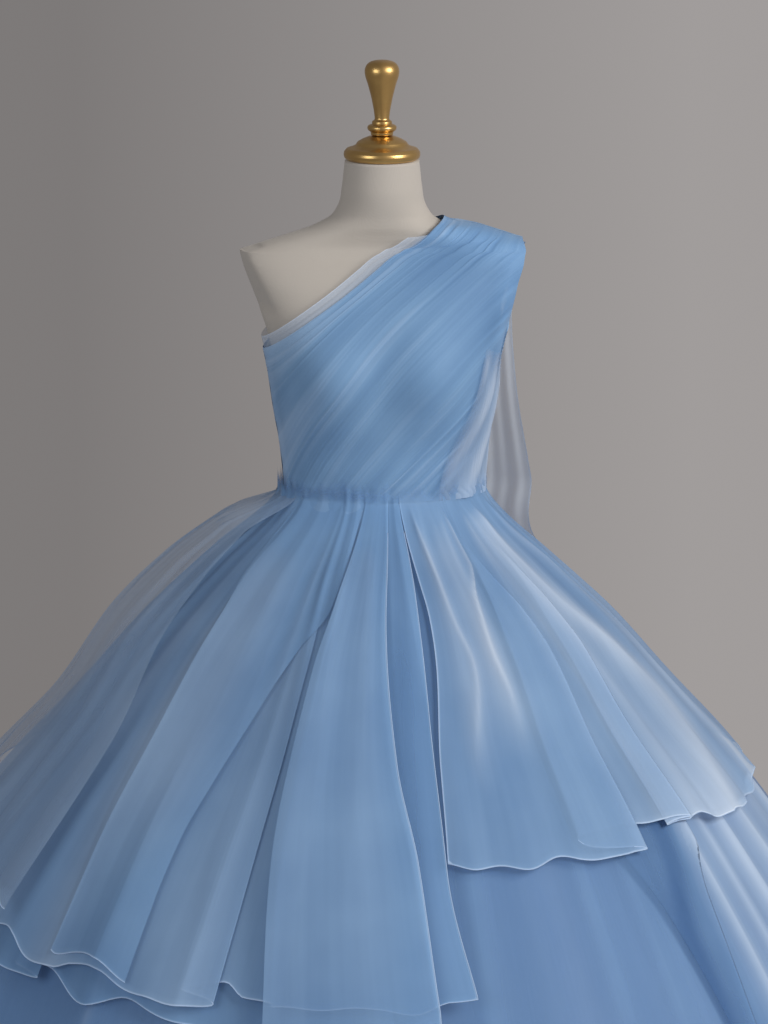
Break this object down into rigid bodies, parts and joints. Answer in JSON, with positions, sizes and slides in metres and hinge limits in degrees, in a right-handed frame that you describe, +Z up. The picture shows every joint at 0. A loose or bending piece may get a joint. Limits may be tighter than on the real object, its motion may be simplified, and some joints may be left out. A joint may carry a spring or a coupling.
{
  "type": "ball gown on a dress form",
  "caption": "One-shoulder ball gown with a pleated bodice, a tiered organza skirt and a trailing shoulder veil, worn by a limbless dress form with a gilded turned cap on a round stand.",
  "frame": {"origin": "centre of the stand's underside, on the floor", "axes": "+Z up; the gown's front faces -Y; +X is at the right of someone who looks at the front, the side of the strap"},
  "size_m": [1.7138, 1.7243, 1.6618],
  "materials": {
    "form": "matt off-white jersey drawn smooth over the padded form",
    "gilt": "turned and gilded, softly polished",
    "stand": "brass-coloured, satin",
    "satin": "pale blue satin-faced lining, low sheen",
    "organza": "pale blue crisp organza, slightly see-through, soft sheen",
    "sheer": "pale blue-grey net, see-through",
    "zip_tape": "matt woven tape",
    "zip_metal": "small plated pull tab"
  },
  "bodies": {
    "gown_on_form": {"form_torso": "form", "form_cap": "gilt", "form_handle": "gilt", "stand_base": "stand", "stand_pole": "stand", "stand_socket": "stand", "bodice_front": "satin", "bodice_back_left": "satin", "bodice_back_right": "satin", "back_zip": "zip_tape", "neck_band_front": "sheer", "neck_band_back": "sheer", "drape_front": "organza", "drape_back_right": "organza", "drape_back_left": "organza", "drape_side": "organza", "skirt_lining": "satin", "skirt_organza": "organza", "tier_right": "organza", "panel_left_under": "organza", "panel_left": "organza", "panel_left_fold": "organza", "panel_left_sheer": "organza", "panel_front_under": "organza", "panel_front": "organza", "shoulder_veil": "sheer"},
    "zip_pull": {"zip_pull": "zip_metal"}
  },
  "joints": [
    {"name": "zip_pull_swing", "type": "hinge", "parent": "gown_on_form", "child": "zip_pull", "pos_m": [0, 0.0933, 1.3637], "axis": [1, 0, 0], "range_deg": [0, 150]}
  ]
}
